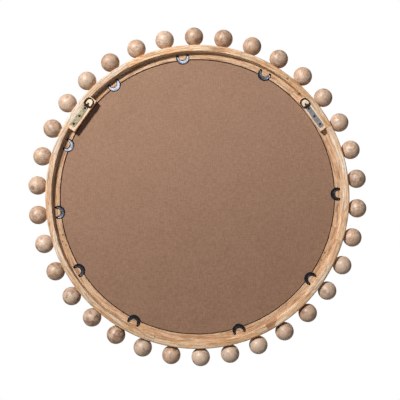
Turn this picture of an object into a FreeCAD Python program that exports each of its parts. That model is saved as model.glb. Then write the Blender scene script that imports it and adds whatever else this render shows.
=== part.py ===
"""Round wall mirror in a wooden ring with a wreath of turned wooden beads.

The ring stands upright in the XZ plane. +Z is up, the wall lies towards -Y and
the glass faces +Y. The origin is the ring's centre on its back face. Angles
run from +X towards +Z, as they are seen from behind. Left is -X, right is +X.
The ring is glued up from arcs: a narrow band at the back and a wide front
layer, whose rabbet holds the glass and the backing panel.
"""
import FreeCAD, Part
import math
import os
import Sketcher
from FreeCAD import Placement, Rotation, Vector

# Driving dimensions in millimetres and degrees
SIZES = {
    # the glued ring
    "ring_outer_r": 407.3,
    "band_width": 19.3,
    "band_depth": 16.5,
    "band_wall_lean": 2.8,
    "ledge_width": 17.5,
    "lip_overlap": 12,
    "lip_depth": 20.3,
    "outer_round": 4.5,
    "band_inner_round": 0.8,
    "ledge_round": 1,
    "front_round": 4,
    "lip_bevel": 6,
    "glue_gap": 0.2,
    # its arcs
    "back_arc_count": 8,
    "back_first_joint_deg": 28,
    "front_arc_count": 6,
    "front_first_joint_deg": 47.5,
    "filler_inner_deg": 5.4,
    "filler_outer_deg": 2.4,
    "filler_spare_deg": 1,
    # glass and backing panel
    "pane_gap": 2,
    "glass_thickness": 4,
    "glass_edge_bevel": 0.8,
    "panel_thickness": 5,
    "panel_recess": 2.2,
    "panel_edge_round": 0.4,
    # beads on their dowels
    "bead_count": 34,
    "bead_first_deg": 6.5,
    "bead_r": 25,
    "bead_flat_depth": 0.6,
    "bead_seat_gap": 0.3,
    "dowel_r": 4,
    "dowel_length": 30,
    "dowel_bevel": 0.8,
    "dowel_clearance": 0.05,
    "dowel_end_room": 1,
    # crescent clips
    "clip_thickness": 1.1,
    "clip_outer_r": 17.3,
    "clip_inner_r": 10.3,
    "clip_reach": 11.8,
    "clip_horn_offset": 4,
    "clip_bend_r": 3,
    "clip_prong_width": 5,
    "clip_prong_length": 4,
    "clip_lift": 0.1,
    "clip_slot_gap": 0.2,
    # hanger blocks
    "block_right_deg": 35.8,
    "block_left_deg": 144.3,
    "block_overhang": 1.5,
    "block_length": 101,
    # strap hangers
    "strap_length": 68.5,
    "strap_width": 13.5,
    "strap_thickness": 1.2,
    "strap_corner_r": 3,
    "strap_hole_r": 1.7,
    "strap_hole_first": 9,
    "strap_hole_last": 8.1,
    "strap_right_inset": 10.5,
    "strap_left_inset": 13.5,
    "knuckle_above_middle": 26.5,
    "knuckle_clearance": 0.08,
    "tongue_width": 5,
    "tongue_reach": 8,
    "tongue_corner_r": 2,
    # loose rings of the hangers
    "wire_r": 1.6,
    "ring_half_width": 10.6,
    "ring_bow_distance": 10.6,
    "ring_corner_r": 3.7,
    "ring_rest_gap": 0.05,
    # screws
    "screw_head_r": 3.2,
    "screw_head_depth": 1.7,
    "screw_head_round": 1.2,
    "screw_shank_r": 1.45,
    "screw_length": 13,
    "screw_tip": 3,
    "screw_hole_gap": 0.05,
    "screw_end_room": 1,
    "screw_slot_width": 0.8,
    "screw_slot_length": 3.4,
    "screw_slot_depth": 0.9,
    # how far a cutting tool runs past what it cuts, and how near an edge is found
    "overrun": 2,
    "edge_tolerance": 0.05,
}
CLIP_ANGLES_DEG = (1.2, 61.4, 96.1, 126.7, 158.2, 186.3, 211.7, 242.9, 287.3, 324.2)
SCREWS_PER_STRAP = 3
FILLER_JOINT = 6

# Sizes that follow from the driving ones, as formulas of the sheet
BAND_INNER = "Sizes.ring_outer_r - Sizes.band_width"
BAND_MOUTH = f"{BAND_INNER} + Sizes.band_wall_lean"
RABBET = f"{BAND_INNER} - Sizes.ledge_width"
LIP_INNER = f"{RABBET} - Sizes.lip_overlap"
PANE = f"{RABBET} - Sizes.pane_gap"
BLOCK_INNER = f"{RABBET} - Sizes.block_overhang"
PANEL_BACK = "Sizes.band_depth + Sizes.panel_recess"
GLASS_BACK = f"{PANEL_BACK} + Sizes.panel_thickness"
LIP_BACK = f"{GLASS_BACK} + Sizes.glass_thickness"
RING_DEPTH = f"{LIP_BACK} + Sizes.lip_depth"
KNUCKLE_BORE = "Sizes.wire_r + Sizes.knuckle_clearance"
KNUCKLE_OUTER = f"{KNUCKLE_BORE} + Sizes.strap_thickness"
HOLES_APART = "Sizes.strap_length - Sizes.strap_hole_first - Sizes.strap_hole_last"

doc = FreeCAD.newDocument("BeadedMirror")
sheet = doc.addObject("Spreadsheet::Sheet", "Sizes")
for row, (alias, value) in enumerate(SIZES.items(), start=1):
    sheet.set(f"A{row}", alias)
    sheet.set(f"B{row}", str(value))
    sheet.setAlias(f"B{row}", alias)
doc.recompute()
subparts = []


def number(formula):
    """Value of a sheet formula."""
    return float(sheet.evalExpression(formula))


def size(alias):
    """Value of one cell of the sheet."""
    return float(sheet.get(alias))


def bind(thing, formulas):
    """Tie properties of an object to sheet formulas."""
    for path, formula in formulas.items():
        thing.setExpression(path, formula)


def finish(thing, label, placement=None):
    """Name a sub-part, set it in its place and list it."""
    thing.Label = label
    if placement is not None:
        thing.Placement = placement
    subparts.append(thing)
    return thing


def radial(angle):
    """Direction from the ring's centre outwards, at an angle in degrees."""
    return Vector(math.cos(math.radians(angle)), 0, math.sin(math.radians(angle)))


def turned_to(angle):
    """Rotation about the ring's axis that brings +X to an angle."""
    return Rotation(Vector(0, -1, 0), angle)


def new_sketch(body, name, role):
    """Empty sketch on one of the body's own origin planes."""
    sketch = body.newObject("Sketcher::SketchObject", name)
    plane = next(item for item in body.Origin.OriginFeatures if item.Role == role)
    sketch.AttachmentSupport = (plane, [""])
    sketch.MapMode = "FlatFace"
    return sketch


def pin_point(sketch, curve, end, formulas, key):
    """Hold one point of a sketch at a pair of formulas."""
    for axis, kind, formula in (("x", "DistanceX", formulas[0]), ("y", "DistanceY", formulas[1])):
        index = sketch.addConstraint(Sketcher.Constraint(kind, curve, end, number(formula)))
        sketch.renameConstraint(index, f"{key}_{axis}")
        sketch.setExpression(f"Constraints.{key}_{axis}", formula)


def outline(body, name, role, corners):
    """Closed polygon whose corners are pairs of sheet formulas."""
    sketch = new_sketch(body, name, role)
    points = [Vector(number(across), number(up), 0) for across, up in corners]
    for start, end in zip(points, points[1:] + points[:1]):
        sketch.addGeometry(Part.LineSegment(start, end), False)
    for side in range(len(points)):
        following = (side + 1) % len(points)
        sketch.addConstraint(Sketcher.Constraint("Coincident", side, 2, following, 1))
    for side, formulas in enumerate(corners):
        pin_point(sketch, side, 1, formulas, f"corner{side}")
    return sketch


def circles(body, name, role, rounds):
    """Circles in a sketch, each a triple of formulas: across, up and radius."""
    sketch = new_sketch(body, name, role)
    for index, (across, up, radius) in enumerate(rounds):
        centre = Vector(number(across), number(up), 0)
        sketch.addGeometry(Part.Circle(centre, Vector(0, 0, 1), number(radius)), False)
        pin_point(sketch, index, 3, (across, up), f"centre{index}")
        held = sketch.addConstraint(Sketcher.Constraint("Radius", index, number(radius)))
        sketch.renameConstraint(held, f"radius{index}")
        sketch.setExpression(f"Constraints.radius{index}", radius)
    return sketch


def turn(body, sketch, name, angle="360"):
    """Revolve a sketch of the XY plane about Y, towards rising angles."""
    feature = body.newObject("PartDesign::Revolution", name)
    feature.Profile = sketch
    feature.ReferenceAxis = (sketch, ["V_Axis"])
    feature.Reversed = True
    bind(feature, {"Angle": angle})
    return feature


def pad(body, sketch, name, length):
    """Pad a sketch by half its length to each side."""
    feature = body.newObject("PartDesign::Pad", name)
    feature.Profile = sketch
    feature.Midplane = True
    bind(feature, {"Length": length})
    return feature


def pocket(body, sketch, name, length):
    """Cut a sketch by half the length to each side, and see that it cuts."""
    doc.recompute()
    before = body.Shape.Volume
    feature = body.newObject("PartDesign::Pocket", name)
    feature.Profile = sketch
    feature.Midplane = True
    bind(feature, {"Length": length})
    doc.recompute()
    if body.Shape.Volume >= before:
        raise RuntimeError(f"{name} cuts nothing")
    return feature


def round_edges(body, name, chosen, radius):
    """Fillet the edges of the body's shape that a test picks."""
    doc.recompute()
    before = body.Tip
    names = [f"Edge{i}" for i, edge in enumerate(before.Shape.Edges, start=1) if chosen(edge)]
    feature = body.newObject("PartDesign::Fillet", name)
    feature.Base = (before, names)
    bind(feature, {"Radius": radius})
    return feature


def arc_at(radius, depth):
    """Test for a circular edge of a radius that lies at a depth along Y."""
    def chosen(edge):
        if not isinstance(edge.Curve, Part.Circle):
            return False
        same_radius = abs(edge.Curve.Radius - radius) < size("edge_tolerance")
        return same_radius and abs(edge.Curve.Center.y - depth) < size("edge_tolerance")
    return chosen


def new_body(name):
    """Empty body."""
    return doc.addObject("PartDesign::Body", name)


def tool_cylinder(name, radius, height, placement):
    """Cylinder for a cut or a common."""
    cylinder = doc.addObject("Part::Cylinder", name)
    bind(cylinder, {"Radius": radius, "Height": height})
    cylinder.Placement = placement
    return cylinder


def cut(name, base, tool):
    """Base less tool."""
    result = doc.addObject("Part::Cut", name)
    result.Base = base
    result.Tool = tool
    return result


def compound(name, pieces):
    """Pieces kept together as one object."""
    group = doc.addObject("Part::Compound", name)
    group.Links = pieces
    return group


def copies(name, source, placements):
    """Like pieces in one node, as separate solids."""
    doc.recompute()
    shapes = []
    for placement in placements:
        shape = source.Shape.copy()
        shape.Placement = placement.multiply(shape.Placement)
        shapes.append(shape)
    group = doc.addObject("Part::Feature", name)
    group.Shape = Part.makeCompound(shapes)
    return group


def bead_angles():
    """Angle of each bead, evenly spaced."""
    count = int(size("bead_count"))
    return [size("bead_first_deg") + 360 * index / count for index in range(count)]


def bead_circle_r():
    """Distance from the ring's centre to a bead's centre."""
    formula = "Sizes.ring_outer_r + Sizes.bead_seat_gap + Sizes.bead_r - Sizes.bead_flat_depth"
    return number(formula)


def dowel_holes():
    """Holes for the dowels in the rim, halfway through its depth."""
    depth = "Sizes.dowel_length / 2 + Sizes.dowel_end_room"
    holes = []
    for index, angle in enumerate(bead_angles(), start=1):
        inner_r = size("ring_outer_r") - number(depth)
        middle = Vector(0, number(RING_DEPTH) / 2, 0)
        place = Placement(radial(angle) * inner_r + middle, Rotation(Vector(0, 0, 1), radial(angle)))
        radius = "Sizes.dowel_r + Sizes.dowel_clearance"
        holes.append(tool_cylinder(f"DowelHole{index}", radius, depth + " + Sizes.overrun", place))
    return holes


def clip_tilt():
    """Slope of a clip, from the ledge's edge down to the panel."""
    return math.degrees(math.asin(size("panel_recess") / size("clip_reach")))


def clip_placements():
    """Clips lie over the ledge's inner edge and lean on the panel."""
    placements = []
    for angle in CLIP_ANGLES_DEG:
        away_from_wood = Vector(0, -1, 0)
        sideways = away_from_wood.cross(radial(angle))
        frame = Rotation(radial(angle), sideways, away_from_wood, "XZY")
        lean = Rotation(Vector(0, 1, 0), -clip_tilt())
        height = size("band_depth") - size("clip_lift")
        base = radial(angle) * number(RABBET) + Vector(0, height, 0)
        placements.append(Placement(base, frame.multiply(lean)))
    return placements


def clip_tip_x():
    """Line of the horns' tips, measured outwards from the ledge's edge."""
    return size("clip_outer_r") - size("clip_reach") + size("clip_horn_offset")


def clip_prong_y():
    """Middle of a horn, measured sideways."""
    outer = math.sqrt(size("clip_outer_r") ** 2 - size("clip_horn_offset") ** 2)
    return (outer + size("clip_inner_r")) / 2


def clip_slots():
    """Slots in the ledge that the prongs are driven into."""
    gap = size("clip_slot_gap")
    height = "Sizes.clip_prong_length + Sizes.clip_bend_r + Sizes.clip_slot_gap"
    slots = []
    for clip_place in clip_placements():
        for side in (-1, 1):
            slot = doc.addObject("Part::Box", "Slot")
            bind(slot, {
                "Length": "Sizes.clip_thickness + 2 * Sizes.clip_slot_gap",
                "Width": "Sizes.clip_prong_width + 2 * Sizes.clip_slot_gap",
                "Height": height,
            })
            corner = Vector(clip_tip_x() + size("clip_bend_r") - gap, 0, -number(height))
            corner.y = side * clip_prong_y() - size("clip_prong_width") / 2 - gap
            slot.Placement = clip_place.multiply(Placement(corner, Rotation()))
            slots.append(slot)
    return slots


def front_layer():
    """Front layer of the ring: arcs with a rabbet, dowel holes and clip slots."""
    tools = compound("RimCuts", dowel_holes() + clip_slots())
    span = 360 / size("front_arc_count")
    for index in range(int(size("front_arc_count"))):
        body = new_body(f"FrontArc{index + 1}")
        sketch = outline(body, f"FrontProfile{index + 1}", "XY_Plane", [
            (RABBET, "Sizes.band_depth"),
            ("Sizes.ring_outer_r", "Sizes.band_depth"),
            ("Sizes.ring_outer_r", RING_DEPTH),
            (f"{LIP_INNER} + Sizes.lip_bevel", RING_DEPTH),
            (LIP_INNER, f"{RING_DEPTH} - Sizes.lip_bevel"),
            (LIP_INNER, LIP_BACK),
            (RABBET, LIP_BACK),
        ])
        turn(body, sketch, f"FrontTurn{index + 1}", "360 / Sizes.front_arc_count")
        rim = arc_at(size("ring_outer_r"), number(RING_DEPTH))
        round_edges(body, f"FrontRim{index + 1}", rim, "Sizes.front_round")
        mouth = arc_at(number(RABBET), size("band_depth"))
        round_edges(body, f"FrontLedge{index + 1}", mouth, "Sizes.ledge_round")
        body.Placement = Placement(Vector(), turned_to(size("front_first_joint_deg") + span * index))
        finish(cut(f"FrontCut{index + 1}", body, tools), f"front_ring_segment_{index + 1}")


def back_arc(name, start_deg, span):
    """One arc of the band at the back, its inner wall leaning, from a start angle over a span."""
    body = new_body(name)
    sketch = outline(body, f"{name}Profile", "XY_Plane", [
        (BAND_MOUTH, "0"),
        ("Sizes.ring_outer_r", "0"),
        ("Sizes.ring_outer_r", "Sizes.band_depth"),
        (BAND_INNER, "Sizes.band_depth"),
    ])
    turn(body, sketch, f"{name}Turn", span)
    round_edges(body, f"{name}Rim", arc_at(size("ring_outer_r"), 0), "Sizes.outer_round")
    round_edges(body, f"{name}Inner", arc_at(number(BAND_MOUTH), 0), "Sizes.band_inner_round")
    body.Placement = Placement(Vector(), turned_to(start_deg))
    return body


def filler_side(name, start_deg, beyond):
    """Box on one side of the slanting joint between the filler and its neighbour."""
    inner = radial(start_deg + size("filler_inner_deg")) * number(BAND_INNER)
    outer = radial(start_deg + size("filler_outer_deg")) * size("ring_outer_r")
    along = (outer - inner).normalize()
    across = along.cross(Vector(0, 1, 0)) * (1 if beyond else -1)
    depth_axis = along.cross(across)
    box = doc.addObject("Part::Box", name)
    bind(box, {"Length": "4 * Sizes.band_width", "Width": "4 * Sizes.band_width"})
    bind(box, {"Height": "Sizes.band_depth + 2 * Sizes.overrun"})
    low = -size("overrun") if depth_axis.y > 0 else size("band_depth") + size("overrun")
    corner = inner - along * size("band_width") + Vector(0, low, 0)
    box.Placement = Placement(corner, Rotation(along, across, depth_axis, "XZY"))
    return box


def back_layer():
    """Band at the back: arcs, one of them shortened by a small dark filler."""
    span = 360 / size("back_arc_count")
    for index in range(int(size("back_arc_count"))):
        start = size("back_first_joint_deg") + span * index
        arc = back_arc(f"BackArc{index + 1}", start, "360 / Sizes.back_arc_count")
        if index == FILLER_JOINT:
            arc = cut("BackArcShortened", arc, filler_side("FillerSide", start, False))
        finish(arc, f"back_ring_segment_{index + 1}")
    start = size("back_first_joint_deg") + span * FILLER_JOINT
    filler = back_arc("Filler", start, "Sizes.filler_inner_deg + Sizes.filler_spare_deg")
    finish(cut("FillerCut", filler, filler_side("FarSide", start, True)), "back_ring_filler")


def beads():
    """Beads with a small flat and a bore for the dowel, each turned outwards."""
    blank = doc.addObject("Part::Sphere", "BeadBlank")
    bind(blank, {
        "Radius": "Sizes.bead_r",
        "Angle1": "-asin((Sizes.bead_r - Sizes.bead_flat_depth) / Sizes.bead_r)",
    })
    bore_place = Placement(Vector(0, 0, -size("bead_r")), Rotation())
    depth = "Sizes.bead_flat_depth + Sizes.dowel_length / 2 + Sizes.dowel_end_room"
    bore = tool_cylinder("BeadBore", "Sizes.dowel_r + Sizes.dowel_clearance", depth, bore_place)
    middle = Vector(0, number(RING_DEPTH) / 2, 0)
    for index, angle in enumerate(bead_angles(), start=1):
        bead = cut(f"Bead{index}", blank, bore)
        place = Placement(radial(angle) * bead_circle_r() + middle,
                          Rotation(Vector(0, 0, 1), radial(angle)))
        finish(bead, f"bead_{index:02d}", place)


def bead_dowels():
    """Dowels, half in the rim and half in the bead."""
    body = new_body("Dowel")
    sketch = outline(body, "DowelProfile", "XY_Plane", [
        ("0", "-Sizes.dowel_length / 2"),
        ("Sizes.dowel_r - Sizes.dowel_bevel", "-Sizes.dowel_length / 2"),
        ("Sizes.dowel_r", "-Sizes.dowel_length / 2 + Sizes.dowel_bevel"),
        ("Sizes.dowel_r", "Sizes.dowel_length / 2 - Sizes.dowel_bevel"),
        ("Sizes.dowel_r - Sizes.dowel_bevel", "Sizes.dowel_length / 2"),
        ("0", "Sizes.dowel_length / 2"),
    ])
    turn(body, sketch, "DowelTurn")
    joint_r = size("ring_outer_r") + size("bead_seat_gap") / 2
    middle = Vector(0, number(RING_DEPTH) / 2, 0)
    places = [Placement(radial(angle) * joint_r + middle, Rotation(Vector(0, 1, 0), radial(angle)))
              for angle in bead_angles()]
    finish(copies("Dowels", body, places), "bead_dowels")


def glass():
    """Silvered glass with a small bevel round both edges."""
    body = new_body("Glass")
    sketch = outline(body, "GlassProfile", "XY_Plane", [
        ("0", GLASS_BACK),
        (f"{PANE} - Sizes.glass_edge_bevel", GLASS_BACK),
        (PANE, f"{GLASS_BACK} + Sizes.glass_edge_bevel"),
        (PANE, f"{LIP_BACK} - Sizes.glass_edge_bevel"),
        (f"{PANE} - Sizes.glass_edge_bevel", LIP_BACK),
        ("0", LIP_BACK),
    ])
    turn(body, sketch, "GlassTurn")
    finish(body, "mirror_glass")


def backing_panel():
    """Brown fibreboard disc behind the glass."""
    body = new_body("Panel")
    sketch = outline(body, "PanelProfile", "XY_Plane", [
        ("0", PANEL_BACK),
        (PANE, PANEL_BACK),
        (PANE, GLASS_BACK),
        ("0", GLASS_BACK),
    ])
    turn(body, sketch, "PanelTurn")
    round_edges(body, "PanelEdge", arc_at(number(PANE), number(PANEL_BACK)), "Sizes.panel_edge_round")
    finish(body, "backing_panel")


def clip():
    """One clip in its own frame: x outwards, y sideways, z away from the wood."""
    middle_x = size("clip_outer_r") - size("clip_reach")
    low = Vector(0, 0, -size("overrun"))
    disc = tool_cylinder("ClipDisc", "Sizes.clip_outer_r", "Sizes.clip_thickness",
                         Placement(Vector(middle_x, 0, 0), Rotation()))
    hollow = tool_cylinder("ClipHollow", "Sizes.clip_inner_r",
                           "Sizes.clip_thickness + 2 * Sizes.overrun",
                           Placement(Vector(clip_tip_x(), 0, 0) + low, Rotation()))
    beyond = doc.addObject("Part::Box", "ClipBeyond")
    bind(beyond, {"Length": "2 * Sizes.clip_outer_r", "Width": "4 * Sizes.clip_outer_r"})
    bind(beyond, {"Height": "Sizes.clip_thickness + 2 * Sizes.overrun"})
    beyond.Placement = Placement(Vector(clip_tip_x(), -2 * size("clip_outer_r"), 0) + low, Rotation())
    crescent = cut("ClipCrescent", disc, compound("ClipCuts", [hollow, beyond]))
    pieces = [crescent]
    for side in (-1, 1):
        pieces.extend(clip_prong(side))
    whole = doc.addObject("Part::MultiFuse", "Clip")
    whole.Shapes = pieces
    whole.Refine = True
    return whole


def clip_prong(side):
    """Horn's end, bent down about a line across it, and the prong below."""
    bend_r = "Sizes.clip_bend_r"
    edge_y = side * clip_prong_y() - size("clip_prong_width") / 2
    centre = Vector(clip_tip_x(), edge_y, -size("clip_bend_r"))
    across = Rotation(Vector(0, 0, 1), Vector(1, 0, 0), Vector(0, 1, 0), "XZY")
    outside = tool_cylinder("BendOutside", f"{bend_r} + Sizes.clip_thickness",
                            "Sizes.clip_prong_width", Placement(centre, across))
    outside.Angle = 90
    inside = tool_cylinder("BendInside", bend_r, "Sizes.clip_prong_width", Placement(centre, across))
    bend = cut("Bend", outside, inside)
    prong = doc.addObject("Part::Box", "Prong")
    bind(prong, {
        "Length": "Sizes.clip_thickness",
        "Width": "Sizes.clip_prong_width",
        "Height": "Sizes.clip_prong_length",
    })
    down = Vector(size("clip_bend_r"), 0, -size("clip_prong_length"))
    prong.Placement = Placement(centre + down, Rotation())
    return [bend, prong]


def retaining_clips():
    """Crescent clips that hold the panel in the ring."""
    finish(copies("Clips", clip(), clip_placements()), "retaining_clips")


def strap_frame(side):
    """Base and directions of a strap hanger: along, away from the wood, across."""
    angle = size("block_right_deg") if side > 0 else size("block_left_deg")
    inset = size("strap_right_inset") if side > 0 else size("strap_left_inset")
    along = Vector(-side * math.sin(math.radians(angle)), 0, side * math.cos(math.radians(angle)))
    away = Vector(0, -1, 0)
    distance = number(BLOCK_INNER) + inset
    base = radial(angle) * distance + along * size("knuckle_above_middle")
    return base, Rotation(along, away, along.cross(away), "XYZ")


def hole_backs():
    """How far back from the rolled end each hole of a strap lies, as formulas."""
    return [f"Sizes.strap_hole_first + ({HOLES_APART}) * {index} / {SCREWS_PER_STRAP - 1}"
            for index in range(SCREWS_PER_STRAP)]


def screw_places(side):
    """Screws sit on the strap, one in each hole."""
    base, frame = strap_frame(side)
    places = []
    for back in hole_backs():
        offset = frame.multVec(Vector(-number(back), size("strap_thickness"), 0))
        places.append(Placement(base + offset, frame))
    return places


def hanger_block(side, label):
    """Block glued against the band, flush with the back."""
    box = doc.addObject("Part::Box", f"{label}_box")
    bind(box, {
        "Length": "Sizes.ledge_width + Sizes.block_overhang + Sizes.band_wall_lean",
        "Width": "Sizes.band_depth",
        "Height": "Sizes.block_length",
        "Placement.Base.x": BLOCK_INNER,
        "Placement.Base.z": "-Sizes.block_length / 2",
    })
    to_y = Rotation(Vector(1, 0, 0), -90)
    fit = doc.addObject("Part::Cone", f"{label}_fit")
    bind(fit, {
        "Radius1": f"{BAND_MOUTH} - Sizes.glue_gap",
        "Radius2": f"{BAND_INNER} - Sizes.glue_gap",
        "Height": "Sizes.band_depth",
    })
    fit.Placement = Placement(Vector(), to_y)
    angle = size("block_right_deg") if side > 0 else size("block_left_deg")
    blank = doc.addObject("Part::Common", f"{label}_blank")
    blank.Base = box
    blank.Tool = fit
    blank.Placement = Placement(Vector(), turned_to(angle))
    holes = []
    depth = "Sizes.screw_length - Sizes.strap_thickness + Sizes.screw_end_room"
    for index, place in enumerate(screw_places(side)):
        on_wood = Vector(place.Base.x, 0, place.Base.z)
        radius = "Sizes.screw_shank_r + Sizes.screw_hole_gap"
        holes.append(tool_cylinder(f"{label}_hole{index}", radius, depth, Placement(on_wood, to_y)))
    finish(cut(f"{label}_drilled", blank, compound(f"{label}_holes", holes)), label)


def hanger_strap(side, label):
    """Steel strap with three holes, rolled round the loose ring, with a tongue beyond the roll."""
    body = new_body(label)
    plate = outline(body, f"{label}_side", "XY_Plane", [
        ("-Sizes.strap_length", "0"),
        ("0", "0"),
        ("0", "Sizes.strap_thickness"),
        ("-Sizes.strap_length", "Sizes.strap_thickness"),
    ])
    pad(body, plate, f"{label}_plate", "Sizes.strap_width")
    roll = circles(body, f"{label}_roll", "XY_Plane", [("0", KNUCKLE_OUTER, KNUCKLE_OUTER)])
    pad(body, roll, f"{label}_knuckle", "Sizes.strap_width")
    beyond = outline(body, f"{label}_tongue_side", "XY_Plane", [
        ("0", "0"),
        ("Sizes.tongue_reach", "0"),
        ("Sizes.tongue_reach", "Sizes.strap_thickness"),
        ("0", "Sizes.strap_thickness"),
    ])
    pad(body, beyond, f"{label}_tongue", "Sizes.tongue_width")
    bore = circles(body, f"{label}_bore", "XY_Plane", [("0", KNUCKLE_OUTER, KNUCKLE_BORE)])
    pocket(body, bore, f"{label}_bored", "Sizes.strap_width + Sizes.overrun")
    rounds = [(f"-({back})", "0", "Sizes.strap_hole_r") for back in hole_backs()]
    holes = circles(body, f"{label}_holes", "XZ_Plane", rounds)
    pocket(body, holes, f"{label}_drilled", "Sizes.strap_thickness + Sizes.overrun * 2")

    def upright(edge):
        return abs(edge.tangentAt(edge.FirstParameter).y) > 0.9

    def end_corner(edge):
        return upright(edge) and edge.BoundBox.XMax < -size("strap_length") + size("overrun")

    def tongue_corner(edge):
        return upright(edge) and edge.BoundBox.XMin > size("tongue_reach") - size("overrun")

    round_edges(body, f"{label}_end", end_corner, "Sizes.strap_corner_r")
    round_edges(body, f"{label}_tongue_end", tongue_corner, "Sizes.tongue_corner_r")
    base, frame = strap_frame(side)
    finish(body, label, Placement(base, frame))


def ring_path(body, name):
    """Middle line of the loose ring: a bar, two corners, two sides and a bow."""
    sketch = new_sketch(body, name, "XZ_Plane")
    half = size("ring_half_width")
    corner = size("ring_corner_r")
    bow = size("ring_bow_distance")
    bar = half - corner
    diagonal = corner * math.sqrt(0.5)

    def point(across, up):
        return Vector(across, up, 0)

    curves = [
        Part.LineSegment(point(0, -bar), point(0, bar)),
        Part.Arc(point(0, bar), point(corner - diagonal, bar + diagonal), point(corner, half)),
        Part.LineSegment(point(corner, half), point(bow, half)),
        Part.Arc(point(bow, half), point(bow + half, 0), point(bow, -half)),
        Part.LineSegment(point(bow, -half), point(corner, -half)),
        Part.Arc(point(corner, -half), point(corner - diagonal, -bar - diagonal), point(0, -bar)),
    ]
    for curve in curves:
        sketch.addGeometry(curve, False)
    starts = {0: 1, 1: 2, 2: 1, 3: 2, 4: 1, 5: 2}
    ends = {0: 2, 1: 1, 2: 2, 3: 1, 4: 2, 5: 1}
    for index in range(len(curves)):
        following = (index + 1) % len(curves)
        joint = Sketcher.Constraint("Tangent", index, ends[index], following, starts[following])
        sketch.addConstraint(joint)
    sketch.addConstraint(Sketcher.Constraint("Vertical", 0))
    sketch.addConstraint(Sketcher.Constraint("PointOnObject", 0, 1, -2))
    sketch.addConstraint(Sketcher.Constraint("PointOnObject", 3, 3, -1))
    sketch.addConstraint(Sketcher.Constraint("Horizontal", 2))
    for curve, key, formula in ((1, "upper", "Sizes.ring_corner_r"), (5, "lower", "Sizes.ring_corner_r"),
                                (3, "bow", "Sizes.ring_half_width")):
        index = sketch.addConstraint(Sketcher.Constraint("Radius", curve, number(formula)))
        sketch.renameConstraint(index, key)
        sketch.setExpression(f"Constraints.{key}", formula)
    index = sketch.addConstraint(Sketcher.Constraint("DistanceX", 3, 3, bow))
    sketch.renameConstraint(index, "bow_distance")
    sketch.setExpression("Constraints.bow_distance", "Sizes.ring_bow_distance")
    return sketch


def ring_lean():
    """Angle by which the loose ring leans until its bow lies on the block."""
    drop = number(KNUCKLE_OUTER) - size("wire_r") - size("ring_rest_gap")
    return math.degrees(math.asin(drop / (size("ring_bow_distance") + size("ring_half_width"))))


def hanging_ring(side, label):
    """Loose wire ring of the hanger, lying on the block."""
    body = new_body(label)
    path = ring_path(body, f"{label}_path")
    section = circles(body, f"{label}_section", "XY_Plane", [("0", "0", "Sizes.wire_r")])
    pipe = body.newObject("PartDesign::AdditivePipe", f"{label}_wire")
    pipe.Profile = section
    pipe.Spine = path
    base, frame = strap_frame(side)
    axis = base + Vector(0, -number(KNUCKLE_OUTER), 0)
    lean = Rotation(Vector(0, 0, 1), -ring_lean())
    finish(body, label, Placement(axis, frame.multiply(lean)))


def hanger_screws():
    """Round-headed screws of both straps, with a cross recess."""
    body = new_body("Screw")
    sketch = outline(body, "ScrewProfile", "XY_Plane", [
        ("0", "-Sizes.screw_length"),
        ("Sizes.screw_shank_r", "Sizes.screw_tip - Sizes.screw_length"),
        ("Sizes.screw_shank_r", "0"),
        ("Sizes.screw_head_r", "0"),
        ("Sizes.screw_head_r", "Sizes.screw_head_depth"),
        ("0", "Sizes.screw_head_depth"),
    ])
    turn(body, sketch, "ScrewTurn")
    top = arc_at(size("screw_head_r"), size("screw_head_depth"))
    round_edges(body, "ScrewHead", top, "Sizes.screw_head_round")
    half_wide = "Sizes.screw_slot_width / 2"
    half_long = "Sizes.screw_slot_length / 2"
    cross = outline(body, "ScrewCross", "XZ_Plane", [
        (half_wide, half_wide), (half_long, half_wide), (half_long, f"-{half_wide}"),
        (half_wide, f"-{half_wide}"), (half_wide, f"-{half_long}"), (f"-{half_wide}", f"-{half_long}"),
        (f"-{half_wide}", f"-{half_wide}"), (f"-{half_long}", f"-{half_wide}"),
        (f"-{half_long}", half_wide), (f"-{half_wide}", half_wide),
        (f"-{half_wide}", half_long), (half_wide, half_long),
    ])
    bind(cross, {"AttachmentOffset.Base.z": "-Sizes.screw_head_depth"})
    pocket(body, cross, "ScrewRecess", "2 * Sizes.screw_slot_depth")
    places = screw_places(-1) + screw_places(1)
    finish(copies("Screws", body, places), "hanger_screws")


def check_and_write():
    """See that every object worked, then write one file for each sub-part."""
    doc.recompute()
    for item in doc.Objects:
        if "Invalid" in item.State or "Error" in item.State:
            raise RuntimeError(f"{item.Label} failed: {item.State}")
    for item in subparts:
        if item.Shape.isNull() or not item.Shape.isValid():
            raise RuntimeError(f"{item.Label} has no valid shape")
    os.makedirs("parts", exist_ok=True)
    for item in subparts:
        item.Shape.exportStep(os.path.join("parts", f"{item.Label}.step"))
        print(f"{item.Label}: {len(item.Shape.Solids)} solid, {item.Shape.Volume:.0f} mm3")


back_layer()
front_layer()
beads()
bead_dowels()
glass()
backing_panel()
retaining_clips()
for side, where in ((-1, "left"), (1, "right")):
    hanger_block(side, f"hanger_block_{where}")
    hanger_strap(side, f"hanger_strap_{where}")
    hanging_ring(side, f"hanging_ring_{where}")
hanger_screws()
check_and_write()
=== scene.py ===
"""Finishes, clips and studio for a round wall mirror with a wreath of wooden beads.

The mirror stands upright with its back towards -Y. Angles run from +X towards
+Z, as they are seen from behind. Lengths are in metres.
"""
import math

import bmesh
import bpy
from bpy.props import FloatProperty, FloatVectorProperty, IntProperty, PointerProperty
from mathutils import Matrix, Vector


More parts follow.
